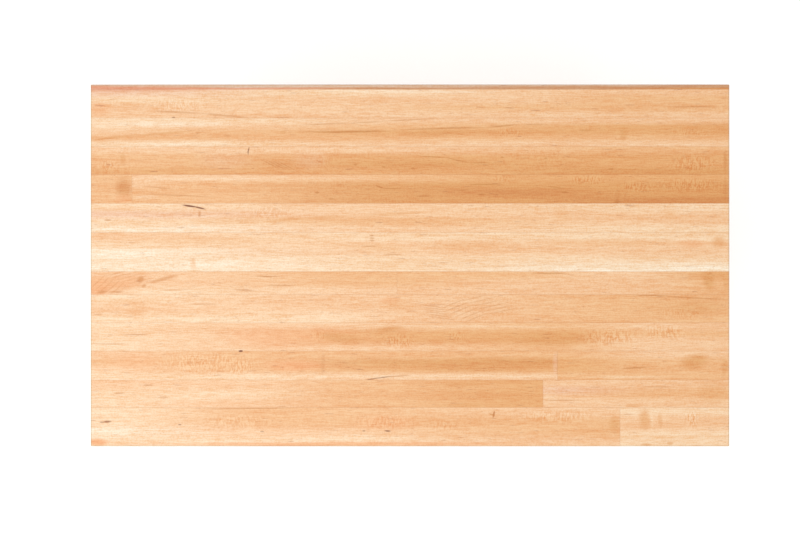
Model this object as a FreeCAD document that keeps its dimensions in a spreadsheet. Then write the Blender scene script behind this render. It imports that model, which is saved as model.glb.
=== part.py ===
import FreeCAD, Part

import os

import Sketcher
from FreeCAD import Placement, Rotation, Vector

# Butcher block table: an edge-grain maple worktop on four legs with aprons.
# Frame: X along the length, Y from front to back, Z up, origin on the floor
# under the middle of the worktop. Millimetres.

document = FreeCAD.newDocument("butcher_block_table")

# --- Driving dimensions ------------------------------------------------------

SIZES = {
    "table_height": 762.0,  # floor to worktop with the feet screwed in
    "top_length": 1066.8,
    "top_thickness": 38.1,
    "top_edge_radius": 1.5,
    "end_overhang": 60.0,  # worktop beyond the legs at the two ends
    "side_overhang": 50.0,  # worktop beyond the legs at front and back
    "leg_size": 60.0,
    "leg_edge_radius": 3.0,
    "corner_flat": 14.0,  # cut off the inner corner at the top of a leg
    "apron_height": 95.0,
    "apron_thickness": 20.0,
    "apron_setback": 6.0,  # from the leg's outer face to the apron's
    "apron_edge_radius": 2.0,
    "bracket_thickness": 2.5,
    "bracket_height": 76.0,
    "bracket_wing": 38.0,
    "bracket_lip": 6.0,
    "bracket_gap": 9.0,  # leg's flat to the bracket, closed by the bolts
    "bolt_radius": 4.0,
    "bolt_in_leg": 34.0,
    "bolt_reach": 24.0,
    "bolt_spacing": 40.0,
    "bolt_chamfer": 1.0,
    "bolt_hole_clearance": 0.5,
    "washer_radius": 9.0,
    "washer_thickness": 1.6,
    "nut_across_flats": 13.0,
    "nut_height": 6.5,
    "screw_radius": 2.0,
    "screw_head_radius": 4.2,
    "screw_head_height": 2.8,
    "screw_length": 18.0,
    "screw_tip": 3.0,
    "screw_hole_clearance": 0.4,
    "wing_screw_spacing": 44.0,
    "clip_thickness": 2.0,
    "clip_width": 18.0,
    "clip_tab": 24.0,
    "clip_drop": 11.0,  # worktop's underside to the clip's tongue
    "clip_tongue": 8.0,
    "clip_gap": 1.5,
    "clip_screw_reach": 16.0,  # from the apron's face
    "clip_from_bracket": 25.0,  # bracket's end to the middle of the next clip
    "groove_depth": 10.0,
    "groove_width": 3.2,
    "kerf_clearance": 0.3,
    "kerf_extra_depth": 1.0,
    "insert_radius": 7.5,
    "insert_length": 22.0,
    "stem_radius": 5.0,
    "stem_length": 46.0,
    "stem_headroom": 4.0,  # left above the stem in the leg
    "stem_hole_clearance": 1.0,
    "hex_across_flats": 17.0,
    "hex_height": 8.0,
    "pad_radius": 20.0,
    "pad_crown_radius": 11.0,
    "pad_rim_height": 4.0,
    "pad_height": 11.0,
    "pad_chamfer": 1.0,
    "socket_depth": 6.0,
    "socket_end_gap": 0.2,
    "running_clearance": 0.05,
    "fixed_clearance": 0.03,
}

# Stave widths, from the back edge to the front edge.
STAVE_WIDTHS = (8.3, 47.9, 47.6, 46.7, 48.1, 48.7, 65.1, 38.4, 47.2, 47.1, 48.4, 45.9, 65.1)

# Butt joints, from the worktop's left end, in the staves made of two lengths.
END_JOINTS = {5: 69.3, 8: 511.7, 11: 779.7, 12: 755.4, 13: 884.0}

for number, width in enumerate(STAVE_WIDTHS, start=1):
    SIZES[f"stave_width_{number:02d}"] = width
for number, distance in END_JOINTS.items():
    SIZES[f"end_joint_{number:02d}"] = distance

sheet = document.addObject("Spreadsheet::Sheet", "Sizes")
for row, (alias, size) in enumerate(SIZES.items(), start=1):
    sheet.set(f"A{row}", alias)
    sheet.set(f"B{row}", str(size))
    sheet.setAlias(f"B{row}", alias)
document.recompute()

# --- Values that follow from them --------------------------------------------

layout = document.addObject("App::VarSet", "Layout")


def derive(name, expression):
    """Adds a value to the layout that follows the driving dimensions."""
    layout.addProperty("App::PropertyFloat", name)
    layout.setExpression(name, expression)
    document.recompute()


def value(expression):
    """What an expression comes to now."""
    return float(layout.evalExpression(expression))


def cell(alias):
    return f"Sizes.{alias}"


def place(name):
    return f"Layout.{name}"


derive("top_width", " + ".join(cell(f"stave_width_{n + 1:02d}") for n in range(len(STAVE_WIDTHS))))
derive("foot_height", "Sizes.pad_height + Sizes.hex_height")
derive("underside", "Sizes.table_height - Sizes.top_thickness")
derive("leg_length", "Layout.underside - Layout.foot_height")
derive("leg_x", "Sizes.top_length / 2 - Sizes.end_overhang - Sizes.leg_size / 2")
derive("leg_y", "Layout.top_width / 2 - Sizes.side_overhang - Sizes.leg_size / 2")
derive("apron_bottom", "Layout.underside - Sizes.apron_height")
derive("apron_middle", "Layout.underside - Sizes.apron_height / 2")
derive("long_apron", "2 * Layout.leg_x - Sizes.leg_size")
derive("short_apron", "2 * Layout.leg_y - Sizes.leg_size")

# An apron's outer and inner faces, from the leg's centre towards the inside.
derive("apron_outer", "Sizes.apron_setback - Sizes.leg_size / 2")
derive("apron_inner", "Layout.apron_outer + Sizes.apron_thickness")

# Along the diagonal from the leg's centre: the leg's flat and the bracket.
derive("flat_reach", "(Sizes.leg_size - Sizes.corner_flat) / sqrt(2)")
derive("bracket_reach", "Layout.flat_reach + Sizes.bracket_gap")
derive("bracket_face", "Layout.bracket_reach + Sizes.bracket_thickness")

# Where the bracket's wing starts and ends along an apron.
derive("wing_start", "Layout.bracket_reach * sqrt(2) - Layout.apron_inner")
derive("wing_end", "Layout.wing_start + Sizes.bracket_wing")
derive("wing_middle", "(Layout.wing_start + Layout.wing_end) / 2")

derive("pilot_radius", "Sizes.screw_radius + Sizes.fixed_clearance")
derive("bolt_hole_radius", "Sizes.bolt_radius + Sizes.bolt_hole_clearance")
derive("bolt_length", "Sizes.bolt_in_leg + Sizes.bolt_reach")
derive("foot_hole_depth", "Sizes.stem_length + Sizes.stem_headroom")

# --- Ways to make pieces -----------------------------------------------------

ALONG_X = Vector(1, 0, 0)
ALONG_Y = Vector(0, 1, 0)
UP = Vector(0, 0, 1)
DIAGONAL = Vector(1, 1, 0)


def bind(item, sizes):
    """Ties an object's properties to expressions."""
    for name, expression in sizes.items():
        item.setExpression(name, expression)


def put(item, position, direction=UP):
    """Places an object so that its own Z axis points along a direction."""
    item.Placement = Placement(Vector(), Rotation(UP, direction))
    for axis, expression in zip("xyz", position):
        item.setExpression(f"Placement.Base.{axis}", expression)
    return item


def box(name, position, length, width, height):
    item = document.addObject("Part::Box", name)
    bind(item, {"Length": length, "Width": width, "Height": height})
    return put(item, position)


def rod(name, radius, length, position, direction=UP):
    item = document.addObject("Part::Cylinder", name)
    bind(item, {"Radius": radius, "Height": length})
    return put(item, position, direction)


def cut(name, base, tool):
    item = document.addObject("Part::Cut", name)
    item.Base, item.Tool = base, tool
    return item


def group(name, items):
    item = document.addObject("Part::Compound", name)
    item.Links = items
    return item


def mirrored(name, source, normal):
    item = document.addObject("Part::Mirroring", name)
    item.Source, item.Normal = source, normal
    return item


def both_ends(name, source):
    """A piece and its mirror image across the middle of the length."""
    return [source, mirrored(f"{name}_right_copy", source, ALONG_X)]


def both_sides(name, source):
    """A piece and its mirror image across the middle of the width."""
    return [source, mirrored(f"{name}_back_copy", source, ALONG_Y)]


def four_corners(name, source):
    """A front left piece and its images at the other three corners."""
    front = group(f"{name}_front", both_ends(name, source))
    return both_sides(name, front)


def plane(body, role):
    return next(item for item in body.Origin.OriginFeatures if item.Role == role)


def pin_point(sketch, line, x, y):
    """Holds the start of a line at a place given by two expressions."""
    for axis, kind, expression in ((-2, "DistanceX", x), (-1, "DistanceY", y)):
        if expression == "0":
            sketch.addConstraint(Sketcher.Constraint("PointOnObject", line, 1, axis))
            continue
        distance = Sketcher.Constraint(kind, -1, 1, line, 1, value(expression))
        index = sketch.addConstraint(distance)
        sketch.setExpression(f"Constraints[{index}]", expression)


def draw_outline(sketch, points):
    """Draws a closed outline whose corners follow expressions."""
    corners = [Vector(value(x), value(y), 0) for x, y in points]
    first = sketch.GeometryCount
    count = len(points)
    for index in range(count):
        following = corners[(index + 1) % count]
        sketch.addGeometry(Part.LineSegment(corners[index], following), False)
    for index in range(count):
        start = first + index
        following = first + (index + 1) % count
        sketch.addConstraint(Sketcher.Constraint("Coincident", start, 2, following, 1))
        pin_point(sketch, start, *points[index])


def draw_circle(sketch, radius):
    """Draws a circle about the sketch's origin."""
    circle = Part.Circle(Vector(), UP, value(radius))
    line = sketch.addGeometry(circle, False)
    sketch.addConstraint(Sketcher.Constraint("Coincident", line, 3, -1, 1))
    index = sketch.addConstraint(Sketcher.Constraint("Radius", line, value(radius)))
    sketch.setExpression(f"Constraints[{index}]", radius)


def new_body(name, position, direction=UP):
    return put(document.addObject("PartDesign::Body", name), position, direction)


def new_sketch(body, suffix, role, points=(), circle=None):
    sketch = body.newObject("Sketcher::SketchObject", f"{body.Name}_{suffix}")
    sketch.AttachmentSupport = [(plane(body, role), "")]
    sketch.MapMode = "FlatFace"
    if points:
        draw_outline(sketch, points)
    if circle:
        draw_circle(sketch, circle)
    return sketch


def pad(body, sketch, length, both_ways=False):
    feature = body.newObject("PartDesign::Pad", f"{sketch.Name}_pad")
    feature.Profile = sketch
    feature.SideType = "Symmetric" if both_ways else "One side"
    feature.setExpression("Length", length)
    document.recompute()
    return feature


def pocket(body, sketch, depth, from_below=False):
    """Cuts a sketch downwards into a body, or upwards from its underside."""
    before = body.Shape.Volume
    feature = body.newObject("PartDesign::Pocket", f"{sketch.Name}_pocket")
    feature.Profile = sketch
    feature.Reversed = from_below
    feature.setExpression("Length", depth)
    document.recompute()
    if not body.Shape.Volume < before:
        raise ValueError(f"{feature.Name} cuts nothing")


def round_edges(body, feature, chosen, radius):
    """Rounds the edges of a feature that a test picks out."""
    fillet = body.newObject("PartDesign::Fillet", f"{body.Name}_fillet")
    edges = feature.Shape.Edges
    fillet.Base = (feature, [f"Edge{n}" for n, edge in enumerate(edges, start=1) if chosen(edge)])
    fillet.setExpression("Radius", radius)
    document.recompute()
    return fillet


def turned(name, position, direction, points):
    """A solid of revolution about its own Z axis, from a half outline."""
    body = new_body(name, position, direction)
    sketch = new_sketch(body, "profile", "XZ_Plane", points)
    feature = body.newObject("PartDesign::Revolution", f"{name}_revolution")
    feature.Profile = sketch
    feature.ReferenceAxis = (sketch, ["V_Axis"])
    document.recompute()
    return body


def rectangle(left, bottom, right, top):
    return [(left, bottom), (right, bottom), (right, top), (left, top)]


def hexagon(across_flats):
    """Corners of a hexagon with two of its flats facing Y."""
    corner, half_corner = f"{across_flats} / sqrt(3)", f"{across_flats} / (2 * sqrt(3))"
    flat = f"{across_flats} / 2"
    return [
        (corner, "0"),
        (half_corner, flat),
        (f"-{half_corner}", flat),
        (f"-{corner}", "0"),
        (f"-{half_corner}", f"-{flat}"),
        (half_corner, f"-{flat}"),
    ]


def is_upright(edge):
    return abs(edge.tangentAt(edge.FirstParameter).z) > 0.99


def lowest(shape):
    return shape.BoundBox.ZMin


# The front left corner is modelled and mirrored, so these are its places.
LEG_X, LEG_Y = "-Layout.leg_x", "-Layout.leg_y"


def inward(offset):
    """A place near the front left leg, offset towards the inside in X and Y."""
    return f"{LEG_X} + {offset[0]}", f"{LEG_Y} + {offset[1]}"


def on_diagonal(reach):
    """A place on the diagonal through the front left leg's inner corner."""
    return inward((f"({reach}) / sqrt(2)", f"({reach}) / sqrt(2)"))


# --- Screws and bolts --------------------------------------------------------

SCREW_PROFILE = [
    ("0", "-Sizes.screw_head_height"),
    ("Sizes.screw_head_radius * 0.6", "-Sizes.screw_head_height"),
    ("Sizes.screw_head_radius", "-Sizes.screw_head_height * 0.4"),
    ("Sizes.screw_head_radius", "0"),
    ("Sizes.screw_radius", "0"),
    ("Sizes.screw_radius", "Sizes.screw_length - Sizes.screw_tip"),
    ("0", "Sizes.screw_length"),
]


def screw(name, position, direction):
    """A pan-head wood screw whose head bears at the position."""
    return turned(name, position, direction, SCREW_PROFILE)


def pilot(name, position, direction):
    """The hole that a wood screw is driven into."""
    return rod(name, place("pilot_radius"), cell("screw_length"), position, direction)


def clearance_hole(name, position, direction, depth):
    """A hole that a screw passes through with room to spare."""
    return rod(name, "Sizes.screw_radius + Sizes.screw_hole_clearance", depth, position, direction)


# --- Worktop -----------------------------------------------------------------

# The blank is the whole glued panel with its edges eased and its underside
# drilled. Each stave is the stretch of it that lies inside the stave's slot.
blank = new_body("panel_blank", ("0", "0", place("underside")))
half_length, half_width = "Sizes.top_length / 2", "Layout.top_width / 2"
blank_outline = rectangle(f"-{half_length}", f"-{half_width}", half_length, half_width)
blank_pad = pad(blank, new_sketch(blank, "outline", "XY_Plane", blank_outline), cell("top_thickness"))
round_edges(blank, blank_pad, lambda edge: True, cell("top_edge_radius"))

# Clip screws rise through the clips' tabs into the worktop.
tab_screw = "Layout.apron_inner + Sizes.clip_screw_reach"
clip_bottom = "Layout.underside - Sizes.clip_thickness"
clip_along = "Layout.wing_end + Sizes.clip_from_bracket"
long_clip_x, short_clip_y = inward((clip_along, clip_along))
front_screw_y = inward(("0", tab_screw))[1]
left_screw_x = inward((tab_screw, "0"))[0]
CLIP_SCREW_PLACES = {
    "front_clip": (long_clip_x, front_screw_y, clip_bottom),
    "middle_clip": ("0", front_screw_y, clip_bottom),
    "left_clip": (left_screw_x, short_clip_y, clip_bottom),
}


def all_clips(suffix, pieces):
    """Spreads the three different clips, or what goes with them, to all ten places."""
    copies = four_corners(f"front_{suffix}", pieces["front_clip"])
    copies += both_sides(f"middle_{suffix}", pieces["middle_clip"])
    return copies + four_corners(f"left_{suffix}", pieces["left_clip"])


pilots = {name: pilot(f"{name}_pilot", spot, UP) for name, spot in CLIP_SCREW_PLACES.items()}
drilled_blank = cut("drilled_blank", blank, group("top_pilots", all_clips("pilot", pilots)))


def stave(name, start, length, front, width):
    """One length of one stave, between two glue lines."""
    slot = box(f"{name}_slot", (start, front, place("underside")), length, width, cell("top_thickness"))
    piece = document.addObject("Part::Common", name)
    piece.Base, piece.Tool = drilled_blank, slot
    return piece


nodes = []
left_end, widths_so_far = "-Sizes.top_length / 2", ""
for number in range(1, len(STAVE_WIDTHS) + 1):
    width = cell(f"stave_width_{number:02d}")
    widths_so_far += f" - {width}"
    front = f"Layout.top_width / 2{widths_so_far}"
    name = f"stave_{number:02d}"
    if number not in END_JOINTS:
        nodes.append(stave(name, left_end, cell("top_length"), front, width))
        continue
    joint = cell(f"end_joint_{number:02d}")
    nodes.append(stave(f"{name}_left", left_end, joint, front, width))
    rest = f"Sizes.top_length - {joint}"
    nodes.append(stave(f"{name}_right", f"{left_end} + {joint}", rest, front, width))

# --- Corner joints: what is cut and what is fitted ----------------------------

leg_bottom = place("foot_height")

bolt_heights = [
    f"Layout.apron_middle {sign} Sizes.bolt_spacing / 2" for sign in ("-", "+")
]
screw_heights = [
    f"Layout.apron_middle {sign} Sizes.wing_screw_spacing / 2" for sign in ("-", "+")
]
bolt_start = on_diagonal("Layout.flat_reach - Sizes.bolt_in_leg")
bolt_pilots, bolt_holes, bolts, washers, nuts = [], [], [], [], []
for number, height in enumerate(bolt_heights, start=1):
    spot = (*bolt_start, height)
    wood_length = "Sizes.bolt_in_leg + Sizes.corner_flat"
    bolt_pilots.append(
        rod(f"bolt_pilot_{number}", "Sizes.bolt_radius + Sizes.fixed_clearance", wood_length, spot, DIAGONAL)
    )
    bolt_holes.append(
        rod(f"bolt_hole_{number}", place("bolt_hole_radius"), place("bolt_length"), spot, DIAGONAL)
    )
    bolt_profile = [
        ("0", "0"),
        ("Sizes.bolt_radius", "Sizes.bolt_radius"),
        ("Sizes.bolt_radius", "Layout.bolt_length - Sizes.bolt_chamfer"),
        ("Sizes.bolt_radius - Sizes.bolt_chamfer", place("bolt_length")),
        ("0", place("bolt_length")),
    ]
    bolts.append(turned(f"bolt_{number}", spot, DIAGONAL, bolt_profile))

    washer = new_body(f"washer_{number}", (*on_diagonal(place("bracket_face")), height), DIAGONAL)
    ring = new_sketch(washer, "ring", "XY_Plane", circle=cell("washer_radius"))
    draw_circle(ring, place("bolt_hole_radius"))
    pad(washer, ring, cell("washer_thickness"))
    washers.append(washer)

    nut_reach = on_diagonal("Layout.bracket_face + Sizes.washer_thickness")
    nut = new_body(f"nut_{number}", (*nut_reach, height), DIAGONAL)
    nut_outline = hexagon(cell("nut_across_flats"))
    nut_bore = "Sizes.bolt_radius + Sizes.fixed_clearance"
    pad(nut, new_sketch(nut, "outline", "XY_Plane", nut_outline, nut_bore), cell("nut_height"))
    nuts.append(nut)

# Screws through the bracket's two wings, one pair into each apron.
INTO_FRONT, INTO_LEFT = Vector(0, -1, 0), Vector(-1, 0, 0)
wing_face = "Layout.apron_inner + Sizes.bracket_thickness"
wing_screws, wing_holes, front_pilots, left_pilots = [], [], [], []
for number, height in enumerate(screw_heights, start=1):
    front_spot = (*inward((place("wing_middle"), wing_face)), height)
    left_spot = (*inward((wing_face, place("wing_middle"))), height)
    for side, spot, direction, pilot_list in (
        ("front", front_spot, INTO_FRONT, front_pilots),
        ("left", left_spot, INTO_LEFT, left_pilots),
    ):
        name = f"{side}_wing_{number}"
        wing_screws.append(screw(f"{name}_screw", spot, direction))
        wing_holes.append(clearance_hole(f"{name}_hole", spot, direction, cell("bracket_thickness")))
        pilot_list.append(pilot(f"{name}_pilot", spot, direction))

# --- Corner bracket ----------------------------------------------------------

# In plan the bracket crosses the corner in front of the leg's flat, lies
# against both aprons, and its lips turn into a saw kerf in each.
far_corner = "Layout.bracket_face * sqrt(2) - Layout.apron_inner - Sizes.bracket_thickness"
lip_start = "Layout.wing_end - Sizes.bracket_thickness"
lip_tip = "Layout.apron_inner - Sizes.bracket_lip"
front_half = [
    (place("wing_start"), place("apron_inner")),
    (lip_start, place("apron_inner")),
    (lip_start, lip_tip),
    (place("wing_end"), lip_tip),
    (place("wing_end"), wing_face),
    (far_corner, wing_face),
]
left_half = [(y, x) for x, y in reversed(front_half)]

bracket_bottom = "Layout.apron_middle - Sizes.bracket_height / 2"
bracket_blank = new_body("bracket_blank", (LEG_X, LEG_Y, bracket_bottom))
bracket_sketch = new_sketch(bracket_blank, "plan", "XY_Plane", front_half + left_half)
pad(bracket_blank, bracket_sketch, cell("bracket_height"))
bracket = cut("front_left_bracket", bracket_blank, group("bracket_drills", bolt_holes + wing_holes))

# --- Leg ---------------------------------------------------------------------

half_leg = "Sizes.leg_size / 2"
leg_blank = new_body("leg_blank", (LEG_X, LEG_Y, leg_bottom))
leg_outline = rectangle(f"-{half_leg}", f"-{half_leg}", half_leg, half_leg)
leg_pad = pad(leg_blank, new_sketch(leg_blank, "section", "XY_Plane", leg_outline), place("leg_length"))
leg_foot_z = lowest(leg_pad.Shape)
round_edges(
    leg_blank,
    leg_pad,
    lambda edge: is_upright(edge) or abs(edge.BoundBox.ZMax - leg_foot_z) < 0.01,
    cell("leg_edge_radius"),
)

# The insert's hole goes on as a narrower one, so that the stem can rise in it.
insert_bore = "Sizes.insert_radius + Sizes.fixed_clearance"
stem_room = "Sizes.stem_radius + Sizes.stem_hole_clearance"
for hole, radius, depth in (
    ("insert", insert_bore, cell("insert_length")),
    ("stem", stem_room, place("foot_hole_depth")),
):
    hole_sketch = new_sketch(leg_blank, hole, "XY_Plane", circle=radius)
    pocket(leg_blank, hole_sketch, depth, from_below=True)

# The flat reaches down as far as the aprons do.
flat_spot = (LEG_X, LEG_Y, place("apron_bottom"))
flat_cutter = new_body("leg_flat_cutter", flat_spot)
flat_start = "Sizes.leg_size / 2 - Sizes.corner_flat"
flat_outline = [(half_leg, flat_start), (half_leg, half_leg), (flat_start, half_leg)]
pad(flat_cutter, new_sketch(flat_cutter, "corner", "XY_Plane", flat_outline), cell("apron_height"))
leg = cut("front_left_leg", leg_blank, group("leg_cutters", [flat_cutter, *bolt_pilots]))

# --- Aprons ------------------------------------------------------------------

kerf_width = "Sizes.bracket_thickness + 2 * Sizes.kerf_clearance"
kerf_depth = "Sizes.bracket_lip + Sizes.kerf_extra_depth"
kerf_start = f"{lip_start} - Sizes.kerf_clearance"
front_kerf_place = (*inward((kerf_start, f"Layout.apron_inner - ({kerf_depth})")), place("apron_bottom"))
front_kerf = box("front_kerf", front_kerf_place, kerf_width, kerf_depth, cell("apron_height"))
left_kerf_place = (*inward((f"Layout.apron_inner - ({kerf_depth})", kerf_start)), place("apron_bottom"))
left_kerf = box("left_kerf", left_kerf_place, kerf_depth, kerf_width, cell("apron_height"))

groove_z = "Layout.underside - Sizes.clip_drop - Sizes.groove_width"
groove_start = "Layout.apron_inner - Sizes.groove_depth"
front_groove = box(
    "front_groove",
    ("-Layout.long_apron / 2", inward(("0", groove_start))[1], groove_z),
    place("long_apron"),
    cell("groove_depth"),
    cell("groove_width"),
)
left_groove = box(
    "left_groove",
    (inward((groove_start, "0"))[0], "-Layout.short_apron / 2", groove_z),
    cell("groove_depth"),
    place("short_apron"),
    cell("groove_width"),
)


def apron_blank(name, position, outline):
    """A board on edge whose two lower long edges are rounded."""
    body = new_body(name, position)
    feature = pad(body, new_sketch(body, "plan", "XY_Plane", outline), cell("apron_height"))
    bottom = lowest(feature.Shape)
    long_side = max(feature.Shape.BoundBox.XLength, feature.Shape.BoundBox.YLength)
    round_edges(
        body,
        feature,
        lambda edge: edge.Length > long_side - 1 and edge.BoundBox.ZMax - bottom < 1,
        cell("apron_edge_radius"),
    )
    return body


half_long, half_short = "Layout.long_apron / 2", "Layout.short_apron / 2"
front_blank = apron_blank(
    "front_apron_blank",
    ("0", inward(("0", place("apron_outer")))[1], place("apron_bottom")),
    rectangle(f"-{half_long}", "0", half_long, cell("apron_thickness")),
)
left_blank = apron_blank(
    "left_apron_blank",
    (inward((place("apron_outer"), "0"))[0], "0", place("apron_bottom")),
    rectangle("0", f"-{half_short}", cell("apron_thickness"), half_short),
)
front_end_cuts = group("front_end_cuts", [front_kerf, *front_pilots])
left_end_cuts = group("left_end_cuts", [left_kerf, *left_pilots])
front_cuts = group("front_cuts", [*both_ends("front_end", front_end_cuts), front_groove])
left_cuts = group("left_cuts", [*both_sides("left_end", left_end_cuts), left_groove])
front_apron = cut("front_apron", front_blank, front_cuts)
left_apron = cut("left_apron", left_blank, left_cuts)

# --- Clips that hold the worktop down ----------------------------------------

clip_tongue_bottom = "-Sizes.clip_drop - Sizes.clip_thickness"
clip_profile = [
    ("-Sizes.clip_tongue", clip_tongue_bottom),
    ("Sizes.clip_gap + Sizes.clip_thickness", clip_tongue_bottom),
    ("Sizes.clip_gap + Sizes.clip_thickness", "-Sizes.clip_thickness"),
    ("Sizes.clip_gap + Sizes.clip_tab", "-Sizes.clip_thickness"),
    ("Sizes.clip_gap + Sizes.clip_tab", "0"),
    (cell("clip_gap"), "0"),
    (cell("clip_gap"), "-Sizes.clip_drop"),
    ("-Sizes.clip_tongue", "-Sizes.clip_drop"),
]


def clip(name, position, role):
    """A Z-shaped plate: its tongue is in the apron's groove, its tab under the worktop."""
    body = new_body(f"{name}_blank", position)
    pad(body, new_sketch(body, "side", role, clip_profile), cell("clip_width"), both_ways=True)
    hole = clearance_hole(f"{name}_hole", CLIP_SCREW_PLACES[name], UP, cell("clip_thickness"))
    return cut(name, body, hole)


front_face_y = inward(("0", place("apron_inner")))[1]
left_face_x = inward((place("apron_inner"), "0"))[0]
clips = {
    "front_clip": clip("front_clip", (long_clip_x, front_face_y, place("underside")), "YZ_Plane"),
    "middle_clip": clip("middle_clip", ("0", front_face_y, place("underside")), "YZ_Plane"),
    "left_clip": clip("left_clip", (left_face_x, short_clip_y, place("underside")), "XZ_Plane"),
}
clip_screws = {
    name: screw(f"{name}_screw", spot, UP) for name, spot in CLIP_SCREW_PLACES.items()
}

# --- Levelling feet ----------------------------------------------------------

insert = new_body("insert", (LEG_X, LEG_Y, leg_bottom))
insert_ring = new_sketch(insert, "ring", "XY_Plane", circle=cell("insert_radius"))
draw_circle(insert_ring, "Sizes.stem_radius + Sizes.running_clearance")
pad(insert, insert_ring, cell("insert_length"))

# The stem is one piece: a spigot in the pad, a hexagon for a spanner, a screw.
stem_hex = new_body("stem_hex", (LEG_X, LEG_Y, cell("pad_height")))
hex_sketch = new_sketch(stem_hex, "outline", "XY_Plane", hexagon(cell("hex_across_flats")))
pad(stem_hex, hex_sketch, cell("hex_height"))
spigot_length = "Sizes.socket_depth - Sizes.socket_end_gap"
stem_rod = rod(
    "stem_rod",
    cell("stem_radius"),
    f"{spigot_length} + Sizes.hex_height + Sizes.stem_length",
    (LEG_X, LEG_Y, f"Sizes.pad_height - ({spigot_length})"),
)
stem = document.addObject("Part::Fuse", "front_left_foot_stem")
stem.Base, stem.Tool = stem_hex, stem_rod

# The pad is a low dome with a socket that the stem turns in.
socket = "Sizes.stem_radius + Sizes.running_clearance"
socket_floor = "Sizes.pad_height - Sizes.socket_depth"
foot_pad = turned(
    "front_left_foot_pad",
    (LEG_X, LEG_Y, "0"),
    UP,
    [
        ("0", "0"),
        ("Sizes.pad_radius - Sizes.pad_chamfer", "0"),
        (cell("pad_radius"), cell("pad_chamfer")),
        (cell("pad_radius"), cell("pad_rim_height")),
        (cell("pad_crown_radius"), cell("pad_height")),
        (socket, cell("pad_height")),
        (socket, socket_floor),
        ("0", socket_floor),
    ],
)

# --- The finished pieces -----------------------------------------------------


def corner_nodes(suffix, source):
    """Four nodes, one at each corner, from the front left piece."""
    front_right = mirrored(f"front_right_{suffix}", source, ALONG_X)
    back_left = mirrored(f"back_left_{suffix}", source, ALONG_Y)
    back_right = mirrored(f"back_right_{suffix}", front_right, ALONG_Y)
    return [source, front_right, back_left, back_right]


nodes += corner_nodes("leg", leg)
nodes += [
    front_apron,
    mirrored("back_apron", front_apron, ALONG_Y),
    left_apron,
    mirrored("right_apron", left_apron, ALONG_X),
]
nodes += corner_nodes("bracket", bracket)
nodes += corner_nodes("foot_stem", stem)
nodes += corner_nodes("foot_pad", foot_pad)
nodes += [
    group("hanger_bolts", four_corners("bolt", group("corner_bolts", bolts))),
    group("bolt_washers", four_corners("washer", group("corner_washers", washers))),
    group("bolt_nuts", four_corners("nut", group("corner_nuts", nuts))),
    group("bracket_screws", four_corners("wing_screw", group("corner_screws", wing_screws))),
    group("top_clips", all_clips("clip_copy", clips)),
    group("clip_screws", all_clips("screw_copy", clip_screws)),
    group("foot_inserts", four_corners("insert", insert)),
]

document.recompute()

for item in document.Objects:
    if {"Invalid", "Error"} & set(item.State):
        raise ValueError(f"{item.Name} failed: {item.State}")

os.makedirs("parts", exist_ok=True)
for node in nodes:
    if node.Shape.isNull() or not node.Shape.isValid() or not node.Shape.Solids:
        raise ValueError(f"{node.Label} has no valid shape")
    print(node.Label, len(node.Shape.Solids), round(node.Shape.Volume))
    node.Shape.exportStep(f"parts/{node.Label}.step")
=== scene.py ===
# %% [markdown]
# # A butcher block table, finished in Blender
# The solids come from the CAD model: thirteen glued rows of maple staves, four legs, four aprons,
# the steel that holds them together and four screw feet. CAD settles every size, so Blender adds
# what CAD can't: the colour and figure of each stave, threads, bent steel edges, moulded feet and light.
# The first cell loads that model as a fixed frame and prints the size of its top.

# %% Load the frame
import math

import bmesh
import bpy
from mathutils import Matrix, Vector


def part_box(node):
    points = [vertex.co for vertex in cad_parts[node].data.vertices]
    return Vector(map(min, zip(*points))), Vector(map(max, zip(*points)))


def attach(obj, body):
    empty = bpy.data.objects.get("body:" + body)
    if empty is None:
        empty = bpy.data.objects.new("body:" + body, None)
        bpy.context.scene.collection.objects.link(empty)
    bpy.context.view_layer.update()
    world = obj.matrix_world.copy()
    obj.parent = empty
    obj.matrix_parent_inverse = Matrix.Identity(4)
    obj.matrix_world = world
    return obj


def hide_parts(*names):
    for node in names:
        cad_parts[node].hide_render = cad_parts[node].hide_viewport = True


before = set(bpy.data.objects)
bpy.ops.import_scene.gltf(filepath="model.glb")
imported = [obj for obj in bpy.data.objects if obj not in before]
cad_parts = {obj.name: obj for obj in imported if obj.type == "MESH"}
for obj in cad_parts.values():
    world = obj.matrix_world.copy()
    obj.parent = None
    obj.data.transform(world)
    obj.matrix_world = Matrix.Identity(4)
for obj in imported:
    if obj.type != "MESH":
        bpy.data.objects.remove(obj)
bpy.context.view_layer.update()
MM = 0.001
top_low = Vector(map(min, *(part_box(name)[0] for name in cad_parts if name.startswith("stave"))))
top_high = Vector(map(max, *(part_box(name)[1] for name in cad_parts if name.startswith("stave"))))
TOP_LENGTH, TOP_WIDTH, TOP_THICKNESS = (top_high - top_low) / MM
TABLE_HEIGHT = top_high.z / MM
print(f"{len(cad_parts)} CAD nodes, top {TOP_LENGTH:.1f} x {TOP_WIDTH:.1f} x {TOP_THICKNESS:.1f} mm")

# %% [markdown]
# ## Colours and nodes
# A colour is written as an sRGB code, but shaders mix light, so one function turns the code
# to linear values. A second small function adds any shader node: its settings by name, and its
# inputs as plain values or as the nodes that feed them. All the materials below are built with it.

# %% Two small tools
def linear(code):
    """An sRGB hex code as the linear colour a shader mixes."""
    shares = [int(code[i:i + 2], 16) / 255 for i in (0, 2, 4)]
    return (*[s / 12.92 if s <= 0.04045 else ((s + 0.055) / 1.055) ** 2.4 for s in shares], 1.0)


def enabled(sockets, name):
    """A socket by its place in the list, or the first one in use that has this name."""
    if isinstance(name, int):
        return sockets[name]
    return next(s for s in sockets if s.enabled and name in ("", s.name))


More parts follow.
